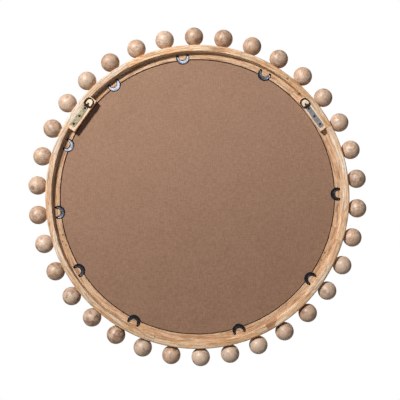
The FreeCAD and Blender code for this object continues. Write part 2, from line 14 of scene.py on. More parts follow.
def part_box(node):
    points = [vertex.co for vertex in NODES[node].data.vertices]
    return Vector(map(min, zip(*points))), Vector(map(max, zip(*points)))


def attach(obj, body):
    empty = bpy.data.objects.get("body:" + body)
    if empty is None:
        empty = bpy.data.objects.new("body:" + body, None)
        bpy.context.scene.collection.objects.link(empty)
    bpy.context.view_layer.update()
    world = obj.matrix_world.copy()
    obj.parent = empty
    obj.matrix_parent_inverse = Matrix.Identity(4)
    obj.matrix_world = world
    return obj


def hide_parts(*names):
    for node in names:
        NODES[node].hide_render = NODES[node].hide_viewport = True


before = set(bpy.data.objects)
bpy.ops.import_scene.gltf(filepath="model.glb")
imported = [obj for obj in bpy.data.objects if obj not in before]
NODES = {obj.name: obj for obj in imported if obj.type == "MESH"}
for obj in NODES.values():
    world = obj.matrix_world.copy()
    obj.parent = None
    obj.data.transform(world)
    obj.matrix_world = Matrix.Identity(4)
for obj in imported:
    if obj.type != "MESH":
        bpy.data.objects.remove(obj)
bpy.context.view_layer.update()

bl_info = {
    "name": "Beaded round mirror",
    "version": (1, 0, 0),
    "blender": (4, 5, 0),
    "location": "3D View > Sidebar > Mirror",
    "description": "Wood, metal and glass finishes, spring clips and a plain studio for a beaded mirror",
    "category": "Object",
}

CLIP_ANGLES_DEG = (1.2, 61.4, 96.1, 126.7, 158.2, 186.3, 211.7, 242.9, 287.3, 324.2)
# direction from the middle to the right block; the left block mirrors it
BLOCK_DEG = 35.8
FILLER_DEG = 300
# distance from the back face to the beads' middles
BEAD_DEPTH = 0.024
# width of the joint between the panel and the ring
PANEL_GAP = 0.002
# radius at which the grain's length is measured in a glued arc
ARC_RADIUS = 0.39
# share of an arc's curve that its grain doesn't follow
STRAIGHT_GRAIN = 0.18
# small knots on the ledge: x, z and radius
MARKS = ((0.273, 0.276, 0.004), (-0.362, -0.102, 0.004), (-0.363, -0.120, 0.0035),
         (-0.354, -0.130, 0.003), (0.342, -0.150, 0.0035), (0.333, -0.170, 0.003))
# x and z of the camera, and places of the lamps
CAMERA_AIM = (0.0070, -0.0084)
KEY_PLACE = (-1.83, -2.79, 2.0)
CATCH_PLACE = (0.085, -2.35, -0.116)
FRONT_PLACE = (1.4, 3.1, 0.9)


def tone(red, green, blue):
    """Linear colour from the three numbers, 0 to 255, that a screen shows."""
    def linear(level):
        level = level / 255
        return level / 12.92 if level <= 0.04045 else ((level + 0.055) / 1.055) ** 2.4
    return linear(red), linear(green), linear(blue)


def colour(name, description, screen):
    """Colour setting with a default as a screen shows it."""
    return FloatVectorProperty(name=name, description=description, default=tone(*screen),
                               subtype="COLOR", min=0, max=1)


def share(name, description, default):
    """Setting between 0 and 1."""
    return FloatProperty(name=name, description=description, default=default,
                         subtype="FACTOR", min=0, max=1)


def length(name, description, default):
    """Length setting in metres."""
    return FloatProperty(name=name, description=description, default=default,
                         subtype="DISTANCE", unit="LENGTH", min=0, precision=5)


class WoodSettings(bpy.types.PropertyGroup):
    """Colours of the glued ring and of its blocks."""
    pale: colour("Pale wood", "Lightest tone of the ring's wood", (232, 208, 178))
    warm: colour("Warm wood", "Lightest tone of the front layer", (236, 198, 156))
    gold: colour("Golden wood", "Warm tone of the broad streaks", (220, 173, 128))
    brown: colour("Brown wood", "Dark tone of the narrow streaks", (152, 110, 78))
    # the pore colour also paints the shade in the gap between panel and ring
    pore: colour("Pores", "Pores, knots and glue lines", (92, 62, 42))
    filler: colour("Filler piece", "The short dark offcut in the band", (150, 112, 86))
    block: colour("Hanger blocks", "Wood of the blocks under the hangers", (246, 222, 190))
    roughness: share("Roughness", "How matt the sanded wood is", 0.62)
    relief: length("Relief", "Depth of the pores and fibres", 0.0003)


class BeadSettings(bpy.types.PropertyGroup):
    """Colours and layout of the turned beads."""
    pale: colour("Pale bead", "Lightest tone of a bead", (227, 203, 179))
    gold: colour("Golden bead", "Warm tone of the broad patches", (207, 165, 125))
    brown: colour("Brown bead", "Darkest tone of a bead", (142, 100, 75))
    wash: colour("Limewash", "Greyish wash left in the grain", (205, 186, 163))
    knot: colour("Knot", "Small knots and end grain", (128, 90, 64))
    roughness: share("Roughness", "How matt the bead's wax is", 0.45)
    count: IntProperty(name="Beads", description="Number of beads in the wreath", default=34, min=3)
    first: FloatProperty(name="First bead", description="Angle of the first bead",
                         default=math.radians(6.5), subtype="ANGLE", unit="ROTATION")
    circle: length("Bead circle", "Distance from the middle to a bead's centre", 0.432)
    tone_seed: FloatProperty(name="Tone seed", description="Choice of the light and dark beads",
                             default=2004.44)
    wash_seed: FloatProperty(name="Wash seed", description="Choice of the greyish beads", default=1342.12)


class PanelSettings(bpy.types.PropertyGroup):
    """Colours of the fibreboard and the glass."""
    board: colour("Fibreboard", "Even tone of the board", (164, 129, 107))
    fibre: colour("Fibres", "Dark fibres in the board", (112, 82, 62))
    silver: colour("Silver", "Tone of the silvered glass", (238, 241, 241))


class MetalSettings(bpy.types.PropertyGroup):
    """Colours of the metal pieces."""
    clip: colour("Clips", "Blued spring steel", (28, 29, 32))
    strap_left: colour("Left strap", "Yellowish zinc", (144, 136, 112))
    strap_right: colour("Right strap", "Grey zinc", (112, 112, 116))
    tarnish: colour("Tarnish", "Dark blotches on the zinc", (78, 76, 64))
    wire: colour("Loose rings", "Dark wire", (42, 36, 30))
    screw: colour("Screws", "Blackened screws", (44, 46, 56))


class ClipSettings(bpy.types.PropertyGroup):
    """Shape of a crescent clip, in line with the solid that it stands for."""
    outer: length("Outer radius", "Radius of the crescent's back", 0.0173)
    inner: length("Inner radius", "Radius of the crescent's hollow", 0.0103)
    reach: length("Reach", "How far the clip lies over the panel", 0.0118)
    horn: length("Horn offset", "From the back's centre to the line of the horns", 0.004)
    bend: length("Bend radius", "Inner radius of the bent horns", 0.003)
    prong_width: length("Prong width", "Width of a prong", 0.005)
    prong_length: length("Prong length", "Straight length of a prong", 0.004)
    thickness: length("Thickness", "Thickness of the steel", 0.0011)
    rolled: length("Rolled edge", "Width of the edge that is rolled down", 0.0011)
    drop: length("Edge drop", "How far the rolled edge drops", 0.00045)
    ledge: length("Ledge radius", "Radius of the ledge's inner edge", 0.3705)
    height: length("Height", "Depth at which the clip leaves the ledge", 0.0164)
    recess: length("Recess", "How far the panel lies below the ledge", 0.0022)


class StudioSettings(bpy.types.PropertyGroup):
    """Camera and lights of the studio."""
    camera_distance: length("Camera distance", "From the camera to the beads' middle", 2.374)
    picture_width: length("Picture width", "Width of the view at the beads' middle", 1.08)
    floor_drop: length("Floor drop", "How far the floor lies below the mirror's middle", 4.0)
    key_power: FloatProperty(name="Key power", description="Power of the key light",
                             default=196, min=0, unit="POWER")
    catch_power: FloatProperty(name="Catch power", description="Power of the small light by the camera",
                               default=10, min=0, unit="POWER")
    front_power: FloatProperty(name="Front power", description="Power of the light before the glass",
                               default=130, min=0, unit="POWER")
    ambient: share("Ambient", "Strength of the light from all round", 0.075)


class MirrorSettings(bpy.types.PropertyGroup):
    """All settings of the beaded mirror."""
    wood: PointerProperty(type=WoodSettings)
    bead: PointerProperty(type=BeadSettings)
    panel: PointerProperty(type=PanelSettings)
    metal: PointerProperty(type=MetalSettings)
    clip: PointerProperty(type=ClipSettings)
    studio: PointerProperty(type=StudioSettings)


class Value:
    """Output of a node. Its arithmetic adds Math nodes."""

    def __init__(self, nodes, socket):
        self.nodes = nodes
        self.socket = socket

    def other(self, output):
        """Another output of the same node."""
        return Value(self.nodes, self.socket.node.outputs[output])

    def calculate(self, operation, *numbers):
        """Result of a Math node."""
        return self.nodes.add("ShaderNodeMath", {"operation": operation}, dict(enumerate(numbers)))

    def __add__(self, other):
        return self.calculate("ADD", self, other)

    def __sub__(self, other):
        return self.calculate("SUBTRACT", self, other)

    def __rsub__(self, other):
        return self.calculate("SUBTRACT", other, self)

    def __mul__(self, other):
        return self.calculate("MULTIPLY", self, other)

    def __truediv__(self, other):
        return self.calculate("DIVIDE", self, other)

    def __abs__(self):
        return self.calculate("ABSOLUTE", self)

    __radd__ = __add__
    __rmul__ = __mul__


class NodeSet:
    """A node tree and the means to add to it."""

    def __init__(self, tree):
        self.tree = tree

    def feed(self, socket, value):
        """Link a socket, or set its value."""
        if isinstance(value, Value):
            self.tree.links.new(value.socket, socket)
        elif socket.type == "RGBA":
            socket.default_value = (*value[:3], 1)
        else:
            socket.default_value = value

    def add(self, kind, settings=None, sockets=None, output=0):
        """Add a node: its settings first, then its sockets."""
        node = self.tree.nodes.new(kind)
        for name, value in (settings or {}).items():
            setattr(node, name, value)
        for key, value in (sockets or {}).items():
            self.feed(node.inputs[key], value)
        return Value(self, node.outputs[output])

    def vector(self, x, y, z):
        """Vector from three numbers."""
        return self.add("ShaderNodeCombineXYZ", None, {0: x, 1: y, 2: z})

    def split(self, vector):
        """Three parts of a vector."""
        x = self.add("ShaderNodeSeparateXYZ", None, {0: vector})
        return x, x.other(1), x.other(2)

    def join(self, operation, first, second):
        """Result of a Vector Math node."""
        return self.add("ShaderNodeVectorMath", {"operation": operation}, {0: first, 1: second})

    def span(self, vector):
        """Length of a vector."""
        return self.add("ShaderNodeVectorMath", {"operation": "LENGTH"}, {0: vector}, "Value")

    def scaled(self, vector, factor):
        """Vector times a number."""
        return self.add("ShaderNodeVectorMath", {"operation": "SCALE"}, {0: vector, "Scale": factor})

    def mix(self, factor, first, second, blend="MIX"):
        """Colour between two colours."""
        settings = {"data_type": "RGBA", "blend_type": blend, "clamp_factor": True}
        return self.add("ShaderNodeMix", settings, {0: factor, 6: first, 7: second}, 2)

    def noise(self, where, scale, detail=2.0, roughness=0.5, distortion=0.0):
        """Cloudy pattern from 0 to 1."""
        sockets = {"Vector": where, "Scale": scale, "Detail": detail,
                   "Roughness": roughness, "Distortion": distortion}
        return self.add("ShaderNodeTexNoise", None, sockets)

    def chance(self, number):
        """Random number from 0 to 1 for a number, with a random vector as its other output."""
        return self.add("ShaderNodeTexWhiteNoise", {"noise_dimensions": "1D"}, {"W": number})

    def fade(self, value, start, end, low=0.0, high=1.0):
        """Smooth step from low to high as the value goes from start to end."""
        settings = {"interpolation_type": "SMOOTHSTEP", "clamp": True}
        return self.add("ShaderNodeMapRange", settings, {0: value, 1: start, 2: end, 3: low, 4: high})


class Finish(NodeSet):
    """A material with its shader and the place of each point."""

    def __init__(self, name):
        self.material = bpy.data.materials.new(name)
        self.material.use_nodes = True
        super().__init__(self.material.node_tree)
        self.shader = self.tree.nodes["Principled BSDF"]
        self.where = self.add("ShaderNodeTexCoord", output="Object")

    def surface(self, **sockets):
        """Set the shader's sockets by name, with _ for a space."""
        for name, value in sockets.items():
            self.feed(self.shader.inputs[name.replace("_", " ")], value)

    def relief(self, height, distance, strength=1.0):
        """Bump from a height between 0 and 1."""
        sockets = {"Strength": strength, "Distance": distance, "Height": height}
        self.surface(Normal=self.add("ShaderNodeBump", None, sockets))


def dress(finish, *names):
    """Give the CAD nodes of these names a finish."""
    for name in names:
        NODES[name].data.materials.clear()
        NODES[name].data.materials.append(finish.material)


def numbered(stem, count, pattern="{}_{}"):
    """Node names of a numbered series."""
    return [pattern.format(stem, number) for number in range(1, count + 1)]


def turned(x, z, angle_deg):
    """Distances outwards and sideways for a direction from the mirror's middle."""
    cosine = math.cos(math.radians(angle_deg))
    sine = math.sin(math.radians(angle_deg))
    return x * cosine + z * sine, z * cosine - x * sine


def arc_places(finish, joint_deg, arcs):
    """Place within the glued arc that a point lies in.

    Returns the distance outwards, the depth and the distance along the grain,
    then the arc's number and how far the nearest joint is.
    """
    x, depth, z = finish.split(finish.where)
    span = math.tau / arcs
    around = z.calculate("ARCTAN2", z, x) - math.radians(joint_deg)
    turns = around / span
    arc = turns.calculate("FLOOR", turns)
    aside = around - (arc + 0.5) * span
    radius = finish.span(finish.vector(x, 0.0, z))
    out = radius * (1 - STRAIGHT_GRAIN + aside.calculate("COSINE", aside) * STRAIGHT_GRAIN)
    number = arc.calculate("FLOORED_MODULO", arc, arcs)
    past = turns - arc
    joint_distance = past.calculate("MINIMUM", past, 1 - past) * (span * ARC_RADIUS)
    return out, depth, aside * ARC_RADIUS, number, joint_distance


def wood_grain(finish, out, depth, along, shift):
    """Streaks, patches, fine fibre, flecks and growth lines of sawn wood, each from 0 to 1."""
    def pattern(across, lengthwise, scale, detail, roughness):
        stretched = finish.vector(out * across, depth * across, along * lengthwise)
        return finish.noise(finish.join("ADD", stretched, shift), scale, detail, roughness)
    streaks = pattern(1.0, 0.09, 190, 4.0, 0.6)
    patches = pattern(1.0, 0.22, 60, 3.0, 0.55)
    fibre = pattern(1.0, 0.08, 1500, 2.0, 0.6)
    flecks = pattern(1.0, 0.16, 520, 2.0, 0.5)
    waver = pattern(1.0, 0.25, 30, 3.0, 0.5)
    growth = (out + depth * 0.5 + waver * 0.05) * (math.tau / 0.0075)
    lines = finish.fade(growth.calculate("SINE", growth), -0.2, 1.0)
    return streaks, patches, fibre, finish.fade(flecks, 0.6, 0.7), lines


def knots(finish, shift):
    """Few small round knots, 1 at a knot's middle."""
    where = finish.join("ADD", finish.where, shift)
    cells = finish.add("ShaderNodeTexVoronoi", {"feature": "F1"}, {"Vector": where, "Scale": 11.0})
    wavy = cells + (finish.noise(where, 300.0) - 0.5) * 0.03
    return finish.fade(wavy, 0.02, 0.06, 1.0, 0.0)


def finish_wood(finish, wood, base, grain, extra_dark, strength=1.0, light=(1.0, 1.0, 1.0)):
    """Colour, gloss and relief of sawn wood from its grain.

    The grain is as strong as asked, and red, green and blue are as light as asked.
    """
    streaks, patches, fibre, flecks, lines = grain
    golden = finish.mix(finish.fade(patches, 0.42, 0.58, 0.0, 0.8 * strength), base, wood.gold)
    growing = finish.mix(lines * (0.4 * strength), golden, wood.brown)
    lined = finish.mix(finish.fade(streaks, 0.5, 0.68, 0.0, 0.85 * strength), growing, wood.brown)
    fine = finish.mix(finish.fade(fibre, 0.42, 0.66, 0.0, 0.4 * strength), lined, wood.brown)
    flecked = finish.mix(flecks * (0.5 * strength), fine, wood.pore)
    finish.surface(Base_Color=finish.join("MULTIPLY", finish.mix(extra_dark, flecked, wood.pore), light),
                   Roughness=finish.fade(fibre, 0.2, 0.8, wood.roughness - 0.08, wood.roughness + 0.1),
                   Specular_IOR_Level=0.12)
    finish.relief(fibre * 0.5 + streaks * 0.3 - flecks * 0.6, wood.relief, 0.35)


def marks(finish):
    """Small dark knots and dents at set places, 1 at the middle of each."""
    x, _, z = finish.split(finish.where)
    dark = 0.0
    for mark_x, mark_z, size in MARKS:
        far = finish.span(finish.vector(x - mark_x, 0.0, z - mark_z))
        mark = finish.fade(far, size * 0.4, size, 1.0, 0.0)
        dark = mark.calculate("MAXIMUM", mark, dark)
    return dark


def groove(finish):
    """Painted shade in the joint between the panel and the ring: 1 on its walls and floor, which take a
    dark colour where the gap's shadow falls.
    """
    x, depth, z = finish.split(finish.where)
    (_, back, _), (edge, front, _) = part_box("backing_panel")
    half = PANEL_GAP / 2
    off = abs(finish.span(finish.vector(x, 0.0, z)) - (edge + half))
    beside = finish.fade(off, half + 0.0001, half + 0.0005, 1.0, 0.0)
    below = finish.fade(depth, back - 0.0018, back - 0.0004)
    above = finish.fade(depth, front + 0.005, front + 0.006, 1.0, 0.0)
    return beside * below * above


def ring_finish(name, wood, base, joint_deg, arcs, tone_seed, light, uneven, cool_seed=0.0,
                green=(1.0, 0.0), blue=(1.0, 0.0)):
    """Wood of a layer glued up from arcs.

    The lightest arc has the lightness that is asked for, and the darkest is darker by the
    unevenness. Green and blue are shares of red: the warmest arc's, and how much more the
    coolest one has.
    """
    finish = Finish(name)
    out, depth, along, number, joint_distance = arc_places(finish, joint_deg, arcs)
    random = finish.chance(number + tone_seed)
    shift = finish.scaled(random.other(1), 7.0)
    grain = wood_grain(finish, out, depth, along, shift)
    glue = finish.fade(joint_distance, 0.0002, 0.0007, 0.55, 0.0)
    dark = glue.calculate("MAXIMUM", glue, knots(finish, shift) * 0.7)
    dark = dark.calculate("MAXIMUM", dark, marks(finish) * 0.75)
    # painted shade: the walls and floor of the gap between panel and ring take the pore colour
    dark = dark.calculate("MAXIMUM", dark, groove(finish))
    cool = finish.chance(number + cool_seed)
    red = light - random * uneven
    tint = finish.vector(red, red * (cool * green[1] + green[0]), red * (cool * blue[1] + blue[0]))
    finish_wood(finish, wood, base, grain, dark, 1.0, tint)
    return finish


def bead_finish(name, bead):
    """Turned and waxed wood, different in each bead, with light painted on towards +X and less gloss at
    the rim.
    """
    finish = Finish(name)
    x, _, z = finish.split(finish.where)
    step = math.tau / bead.count
    turns = (z.calculate("ARCTAN2", z, x) - bead.first) / step
    nearest = turns.calculate("ROUND", turns)
    angle = nearest * step + bead.first
    centre = finish.vector(angle.calculate("COSINE", angle) * bead.circle, BEAD_DEPTH,
                           angle.calculate("SINE", angle) * bead.circle)
    inside = finish.join("SUBTRACT", finish.where, centre)
    number = nearest.calculate("FLOORED_MODULO", nearest, bead.count)
    random = finish.chance(number + bead.tone_seed)
    greyness = finish.chance(number + bead.wash_seed)
    grained = finish.add("ShaderNodeVectorRotate", {"rotation_type": "EULER_XYZ"},
                         {"Vector": inside, "Rotation": finish.scaled(random.other(1), 6.3)})
    shift = finish.scaled(random.other(1), 5.0)
    across, up, along = finish.split(grained)
    wavy = finish.noise(finish.join("ADD", grained, shift), 60.0, 2.0)
    from_heart = finish.span(finish.vector(across + 0.021, up + wavy * 0.009, 0.0))
    rings = from_heart.calculate("SINE", from_heart * (math.tau / 0.0042)) * 0.5 + 0.5
    stretched = finish.join("ADD", finish.vector(across, up, along * 0.12), shift)
    fibre = finish.noise(stretched, 900.0, 2.0, 0.6)
    blotches = finish.noise(finish.join("ADD", grained, shift), 95.0, 4.0, 0.62, 0.4)
    specks = finish.noise(finish.join("ADD", inside, shift), 420.0, 2.0, 0.6)
    # painted light: the beads are painted paler towards +X, as if more light fell on that side
    painted_side_light = finish.fade(x, 0.05, 0.4, 0.0, 0.13)
    brownness = random * 0.65 + finish.fade(blotches, 0.42, 0.6) * 0.5 - 0.06 - painted_side_light
    base = finish.mix(brownness, bead.pale, bead.brown)
    golden = finish.mix(finish.fade(wavy, 0.42, 0.6, 0.0, 0.7), base, bead.gold)
    ringed = finish.mix(rings * finish.fade(greyness, 1.0, 0.2) * 0.32, golden, bead.brown)
    clouded = finish.fade(wavy + greyness * 0.3, 0.6, 0.78, 0.0, 0.65)
    washed = finish.mix(clouded, ringed, bead.wash)
    knot = finish.fade(along + wavy * 0.0006, 0.0243, 0.0249)
    knotted = finish.mix(knot * 0.75, washed, bead.knot)
    fibre_grey = finish.mix(fibre, tone(95, 95, 95), tone(165, 165, 165))
    fine = finish.mix(0.25, knotted, fibre_grey, "OVERLAY")
    pits = finish.fade(specks, 0.66, 0.78)
    facing = finish.add("ShaderNodeLayerWeight", None, {"Blend": 0.5}, "Facing")
    waxed = finish.fade(fibre, 0.2, 0.8, bead.roughness - 0.07, bead.roughness + 0.1)
    finish.surface(Base_Color=finish.mix(pits * 0.4, fine, bead.knot),
                   Roughness=waxed + finish.fade(facing, 0.25, 0.6, 0.0, 0.45),
                   Specular_IOR_Level=0.6)
    finish.relief(fibre * 0.4 - pits * 0.6 + wavy * 0.3, 0.0003, 0.3)
    return finish


def metal_finish(name, base, tarnish, blotch_scale, amount, roughness, uneven=0.15, painted_fold_shade=False,
                 painted_shade_from=1.0):
    """Worn metal with blotches, fine scratches and uneven gloss.

    Painted shade makes it near black where a strap is rolled, and beyond a distance from the mirror's
    middle, where the clips' horns bend down.
    """
    finish = Finish(name)
    blotches = finish.noise(finish.where, blotch_scale, 4.0, 0.6, 0.6)
    x, depth, z = finish.split(finish.where)
    scratches = finish.noise(finish.vector(x + z * 0.8, depth, (z - x * 0.8) * 0.1), 2600.0, 2.0)
    stained = finish.mix(finish.fade(blotches, 0.42, 0.6, 0.0, amount), base, tarnish)
    scratched = finish.mix(finish.fade(scratches, 0.55, 0.75, 0.0, 0.25), stained, tarnish)
    if painted_fold_shade:
        # painted shade: the rolled end and the tongue past it are painted near black, standing in for the
        # shade and dark reflections at the fold
        _, along = turned(abs(x), z, BLOCK_DEG)
        rolled = finish.fade(along + (blotches - 0.5) * 0.004, 0.0185, 0.0215, 0.0, 0.92)
        scratched = finish.mix(rolled, scratched, tone(30, 28, 26))
    # painted shade: beyond the given distance from the middle the metal is painted near black, which
    # darkens the clips' bent-down horn tips
    far = finish.fade(finish.span(finish.vector(x, 0.0, z)), painted_shade_from, painted_shade_from + 0.0015)
    finish.surface(Base_Color=finish.mix(far, scratched, tone(12, 12, 14)), Metallic=1.0,
                   Roughness=finish.fade(blotches, 0.3, 0.7, roughness, roughness + uneven))
    finish.relief(scratches, 0.00001, 0.2)
    return finish


def settings_of(context):
    """Settings of the mirror in the scene."""
    return context.scene.beaded_mirror


class MIRROR_OT_finish_band(bpy.types.Operator):
    """Give the band at the back its glued-up wood and its dark filler piece"""
    bl_idname = "beaded_mirror.finish_band"
    bl_label = "Finish band"

    def execute(self, context):
        wood = settings_of(context).wood
        arcs = 8
        band = ring_finish("band_wood", wood, wood.pale, joint_deg=28.0, arcs=arcs, tone_seed=413.18,
                           light=1.25, uneven=0.3, cool_seed=533.44, green=(0.95, 0.16), blue=(0.89, 0.42))
        dress(band, *numbered("back_ring_segment", arcs))
        filler = Finish("filler_wood")
        x, depth, z = filler.split(filler.where)
        out, along = turned(x, z, FILLER_DEG)
        grain = wood_grain(filler, out, depth, along, (3.0, 1.0, 2.0))
        finish_wood(filler, wood, wood.filler, grain, extra_dark=0.0)
        dress(filler, "back_ring_filler")
        return {"FINISHED"}


class MIRROR_OT_finish_front_layer(bpy.types.Operator):
    """Give the wide front layer its glued-up wood"""
    bl_idname = "beaded_mirror.finish_front_layer"
    bl_label = "Finish front layer"

    def execute(self, context):
        wood = settings_of(context).wood
        arcs = 6
        front = ring_finish("front_wood", wood, wood.warm, joint_deg=47.5, arcs=arcs, tone_seed=103.14,
                            light=0.93, uneven=0.04, green=(1.01, 0.0), blue=(1.09, 0.0))
        dress(front, *numbered("front_ring_segment", arcs))
        return {"FINISHED"}


class MIRROR_OT_finish_beads(bpy.types.Operator):
    """Give each bead its own turned wood, and the dowels plain wood"""
    bl_idname = "beaded_mirror.finish_beads"
    bl_label = "Finish beads"

    def execute(self, context):
        settings = settings_of(context)
        finish = bead_finish("bead_wood", settings.bead)
        dress(finish, *numbered("bead", settings.bead.count, "{}_{:02d}"))
        wood = settings.wood
        dowel = ring_finish("dowel_wood", wood, wood.pale, joint_deg=0.0, arcs=settings.bead.count,
                            tone_seed=5.0, light=1.0, uneven=0.2)
        dress(dowel, "bead_dowels")
        return {"FINISHED"}


class MIRROR_OT_finish_blocks(bpy.types.Operator):
    """Give the hanger blocks pale wood with the grain along them"""
    bl_idname = "beaded_mirror.finish_blocks"
    bl_label = "Finish hanger blocks"

    def execute(self, context):
        wood = settings_of(context).wood
        finish = Finish("block_wood")
        x, depth, z = finish.split(finish.where)
        out, along = turned(abs(x), z, BLOCK_DEG)
        grain = wood_grain(finish, out, depth, along, (0.5, 0.5, 0.5))
        finish_wood(finish, wood, wood.block, grain, extra_dark=0.0, strength=0.6, light=(1.1, 1.12, 1.18))
        dress(finish, "hanger_block_left", "hanger_block_right")
        return {"FINISHED"}


class MIRROR_OT_finish_panel(bpy.types.Operator):
    """Give the backing panel its brown fibreboard"""
    bl_idname = "beaded_mirror.finish_panel"
    bl_label = "Finish backing panel"

    def execute(self, context):
        panel = settings_of(context).panel
        finish = Finish("fibreboard")
        x, depth, z = finish.split(finish.where)
        fine = finish.noise(finish.where, 1100.0, 3.0, 0.7)
        lying = finish.noise(finish.vector(x * 0.2, depth, z), 380.0, 4.0, 0.65, 0.3)
        standing = finish.noise(finish.vector(x, depth, z * 0.2), 380.0, 4.0, 0.65, 0.3)
        clouds = finish.noise(finish.where, 16.0, 3.0, 0.5)
        fibres = finish.fade(fine * 0.2 + lying * 0.4 + standing * 0.4, 0.4, 0.6)
        # painted shade: the board is painted darker towards the bottom and a little towards +X, as the
        # light falls off across it
        low = finish.fade(z * 0.95 - x * 0.15 + (clouds - 0.5) * 0.1, 0.25, -0.3, 0.0, 0.26)
        mottled = finish.mix(fibres * 0.4 + clouds * 0.16 + low - 0.06, panel.board, panel.fibre)
        # painted shade: the panel's edge in the gap is painted dark brown
        finish.surface(Base_Color=finish.mix(groove(finish) * 0.9, mottled, tone(60, 42, 30)),
                       Roughness=finish.fade(clouds, 0.3, 0.7, 0.7, 0.82),
                       Specular_IOR_Level=0.08)
        finish.relief(fibres, 0.00012, 0.3)
        dress(finish, "backing_panel")
        return {"FINISHED"}


class MIRROR_OT_finish_glass(bpy.types.Operator):
    """Give the glass its silvered face with faint smears"""
    bl_idname = "beaded_mirror.finish_glass"
    bl_label = "Finish glass"

    def execute(self, context):
        panel = settings_of(context).panel
        finish = Finish("silvered_glass")
        smears = finish.noise(finish.where, 9.0, 5.0, 0.6, 1.2)
        dust = finish.fade(finish.noise(finish.where, 700.0, 2.0), 0.7, 0.8)
        finish.surface(Base_Color=finish.mix(dust * 0.1, panel.silver, tone(215, 213, 208)), Metallic=1.0,
                       Roughness=finish.fade(smears, 0.45, 0.75, 0.015, 0.05), Coat_Weight=0.5)
        dress(finish, "mirror_glass")
        return {"FINISHED"}


def clip_blank(clip):
    """One crescent clip in its own frame: x outwards, z away from the wood."""
    mesh = bmesh.new()
    back_x = clip.outer - clip.reach
    tip_x = back_x + clip.horn
    for middle, radius in ((back_x, clip.outer), (tip_x, clip.inner)):
        bmesh.ops.create_circle(mesh, segments=64, radius=radius,
                                matrix=Matrix.Translation((middle, 0, clip.drop)))
    everything = mesh.verts[:] + mesh.edges[:]
    bmesh.ops.bisect_plane(mesh, geom=everything, plane_co=(tip_x, 0, 0), plane_no=(1, 0, 0),
                           clear_outer=True, dist=0.0001)
    bmesh.ops.bridge_loops(mesh, edges=mesh.edges[:])
    prong_middle = (math.sqrt(clip.outer ** 2 - clip.horn ** 2) + clip.inner) / 2
    for side in (-1, 1):
        ends = [vert for vert in mesh.verts if vert.co.x > tip_x - 0.00005 and vert.co.y * side > 0]
        for vert in ends:
            outwards = 1 if abs(vert.co.y) > prong_middle else -1
            vert.co.y = side * (prong_middle + outwards * clip.prong_width / 2)
        horn = [edge for edge in mesh.edges if edge.verts[0] in ends and edge.verts[1] in ends]
        bent = bmesh.ops.spin(mesh, geom=ends + horn, cent=(tip_x, 0, clip.drop - clip.bend),
                              axis=(0, 1, 0), angle=math.radians(90), steps=6,
                              use_duplicate=False)["geom_last"]
        tip = [item for item in bent if isinstance(item, bmesh.types.BMEdge)]
        prong = bmesh.ops.extrude_edge_only(mesh, edges=tip)["geom"]
        bmesh.ops.translate(mesh, vec=(0, 0, -clip.prong_length),
                            verts=[item for item in prong if isinstance(item, bmesh.types.BMVert)])
    bmesh.ops.remove_doubles(mesh, verts=mesh.verts[:], dist=0.00001)
    bmesh.ops.recalc_face_normals(mesh, faces=mesh.faces[:])
    top = min(mesh.faces, key=lambda face: face.calc_center_median().x)
    if top.normal.z < 0:
        bmesh.ops.reverse_faces(mesh, faces=mesh.faces[:])
    plate = mesh.faces[:]
    for width in (clip.rolled, clip.rolled / 4):
        bmesh.ops.inset_region(mesh, faces=plate, thickness=width, use_even_offset=True,
                               use_boundary=True)
    mesh.normal_update()
    rim = [vert for vert in mesh.verts if vert.is_boundary]
    lowered = [(vert, vert.co - vert.normal * clip.drop) for vert in rim]
    for vert, place in lowered:
        vert.co = place
    return mesh


class MIRROR_OT_make_clips(bpy.types.Operator):
    """Make the ten crescent clips with rolled edges and blued steel"""
    bl_idname = "beaded_mirror.make_clips"
    bl_label = "Make spring clips"

    def execute(self, context):
        settings = settings_of(context)
        clip = settings.clip
        mesh = bpy.data.meshes.new("spring_clips")
        whole = bmesh.new()
        tilt = math.asin(clip.recess / clip.reach)
        for angle in CLIP_ANGLES_DEG:
            one = clip_blank(clip)
            radial = Vector((math.cos(math.radians(angle)), 0, math.sin(math.radians(angle))))
            away = Vector((0, -1, 0))
            turn = Matrix((radial, away.cross(radial), away)).transposed().to_4x4()
            base = Matrix.Translation(radial * clip.ledge + Vector((0, clip.height, 0)))
            lean = Matrix.Rotation(-tilt, 4, "Y")
            bmesh.ops.transform(one, matrix=base @ turn @ lean, verts=one.verts[:])
            one.to_mesh(mesh)
            one.free()
            whole.from_mesh(mesh)
        whole.to_mesh(mesh)
        whole.free()
        for face in mesh.polygons:
            face.use_smooth = True
        clips = bpy.data.objects.new("spring_clips", mesh)
        context.scene.collection.objects.link(clips)
        shell = clips.modifiers.new("thickness", "SOLIDIFY")
        shell.thickness = clip.thickness - clip.drop
        shell.offset = 1
        # beyond this radius the clips' bent horn tips get painted shade
        horn_tips = clip.ledge + clip.outer - clip.reach + clip.horn - 0.001
        finish = metal_finish("blued_steel", settings.metal.clip, tone(24, 26, 32), blotch_scale=160.0,
                              amount=0.3, roughness=0.08, uneven=0.06, painted_shade_from=horn_tips)
        clips.data.materials.append(finish.material)
        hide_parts("retaining_clips")
        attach(clips, "mirror")
        return {"FINISHED"}


